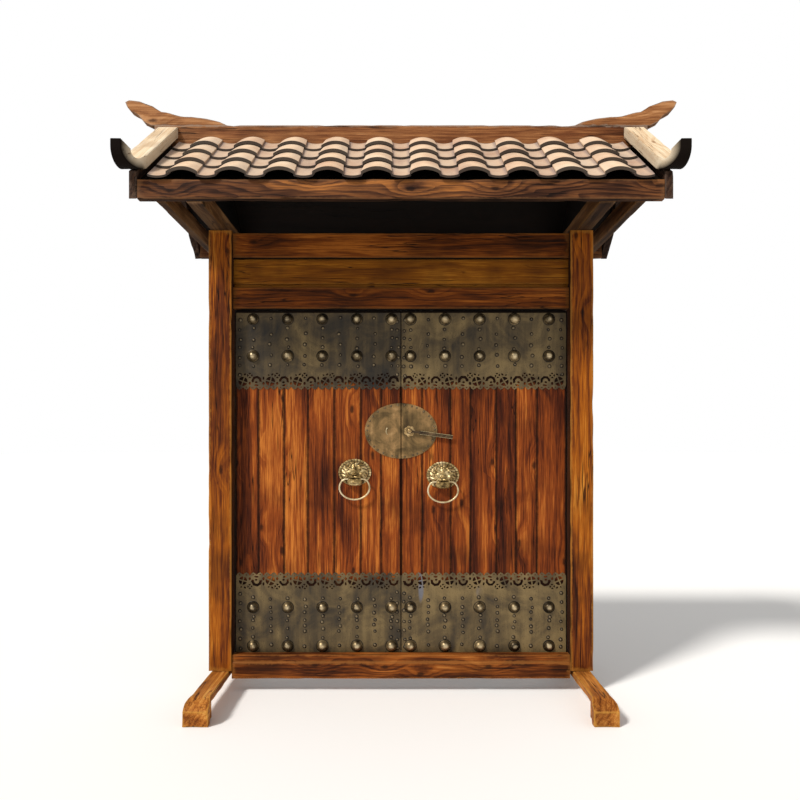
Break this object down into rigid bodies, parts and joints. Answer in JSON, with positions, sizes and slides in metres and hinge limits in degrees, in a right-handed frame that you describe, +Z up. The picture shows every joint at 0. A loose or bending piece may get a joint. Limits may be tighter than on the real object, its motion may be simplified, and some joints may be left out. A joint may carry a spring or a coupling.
{
  "type": "courtyard gate",
  "caption": "Free-standing timber gate with a tiled gable roof on two posts and a pair of inward opening leaves with metal bands, domed studs, an oval lock plate and ring knockers.",
  "frame": {"origin": "on the ground, in the middle of the gate's width and depth", "axes": "+Z up, +X to the right seen from outside, +Y from the outer face towards the courtyard, where the leaves swing"},
  "size_m": [3.376, 1.4218, 3.6081],
  "materials": {
    "post_wood": "weathered golden brown, cracked",
    "beam_wood": "weathered dark brown, worn along the grain",
    "eave_wood": "weathered dark grey-brown with wavy grain",
    "panel_wood": "worn golden ochre",
    "door_wood": "weathered red-brown planks with dark streaks",
    "back_wood": "plain weathered brown",
    "roof_wood": "weathered grey-brown",
    "verge_wood": "pale cream, weathered",
    "roof_tile": "unglazed pale terracotta",
    "band_metal": "aged, olive-brown",
    "stud_metal": "hammered, dark bronze",
    "knocker_metal": "aged, bright on the high parts",
    "ring_metal": "worn bright",
    "latch_metal": "aged, dull"
  },
  "bodies": {
    "frame": {"threshold": "beam_wood", "lower_lintel": "beam_wood", "upper_lintel": "beam_wood", "transom_panel": "panel_wood", "socket_rail": "back_wood", "front_eave_beam": "eave_wood", "rear_eave_beam": "eave_wood", "front_deck": "roof_wood", "rear_deck": "roof_wood", "ridge_beam": "roof_wood", "front_pan_tiles": "roof_tile", "rear_pan_tiles": "roof_tile", "front_cover_tiles": "roof_tile", "rear_cover_tiles": "roof_tile", "left_post": "post_wood", "left_foot": "post_wood", "left_pillow_block": "back_wood", "left_roof_arm": "roof_wood", "left_side_beam": "roof_wood", "left_gable_board": "roof_wood", "left_barge_board": "roof_wood", "left_front_verge_board": "verge_wood", "left_rear_verge_board": "verge_wood", "left_ridge_horn": "roof_wood", "right_post": "post_wood", "right_foot": "post_wood", "right_pillow_block": "back_wood", "right_roof_arm": "roof_wood", "right_side_beam": "roof_wood", "right_gable_board": "roof_wood", "right_barge_board": "roof_wood", "right_front_verge_board": "verge_wood", "right_rear_verge_board": "verge_wood", "right_ridge_horn": "roof_wood"},
    "right_leaf": {"right_leaf_boards": "door_wood", "right_pivot_stile": "back_wood", "right_battens": "back_wood", "right_upper_band": "band_metal", "right_lower_band": "band_metal", "right_studs": "stud_metal", "right_lock_plate": "band_metal", "right_knocker_face": "knocker_metal", "latch_post": "latch_metal"},
    "left_leaf": {"left_leaf_boards": "door_wood", "left_pivot_stile": "back_wood", "left_battens": "back_wood", "left_upper_band": "band_metal", "left_lower_band": "band_metal", "left_studs": "stud_metal", "left_lock_plate": "band_metal", "left_knocker_face": "knocker_metal", "left_keeper": "latch_metal"},
    "right_ring": {"right_knocker_ring": "ring_metal"},
    "left_ring": {"left_knocker_ring": "ring_metal"},
    "latch": {"latch_bar": "latch_metal"}
  },
  "joints": [
    {"name": "right_leaf_swing", "type": "hinge", "parent": "frame", "child": "right_leaf", "pos_m": [0.985, 0.0823, 0], "axis": [0, 0, -1], "range_deg": [0, 95]},
    {"name": "left_leaf_swing", "type": "hinge", "parent": "frame", "child": "left_leaf", "pos_m": [-0.985, 0.0823, 0], "axis": [0, 0, 1], "range_deg": [0, 95]},
    {"name": "right_ring_swing", "type": "hinge", "parent": "right_leaf", "child": "right_ring", "pos_m": [0.257, -0.025, 1.276], "axis": [-1, 0, 0], "range_deg": [-10, 110]},
    {"name": "left_ring_swing", "type": "hinge", "parent": "left_leaf", "child": "left_ring", "pos_m": [-0.284, -0.025, 1.293], "axis": [-1, 0, 0], "range_deg": [-10, 110]},
    {"name": "latch_turn", "type": "hinge", "parent": "right_leaf", "child": "latch", "pos_m": [0.052, -0.009, 1.585], "axis": [0, -1, 0], "range_deg": [0, 188]}
  ]
}
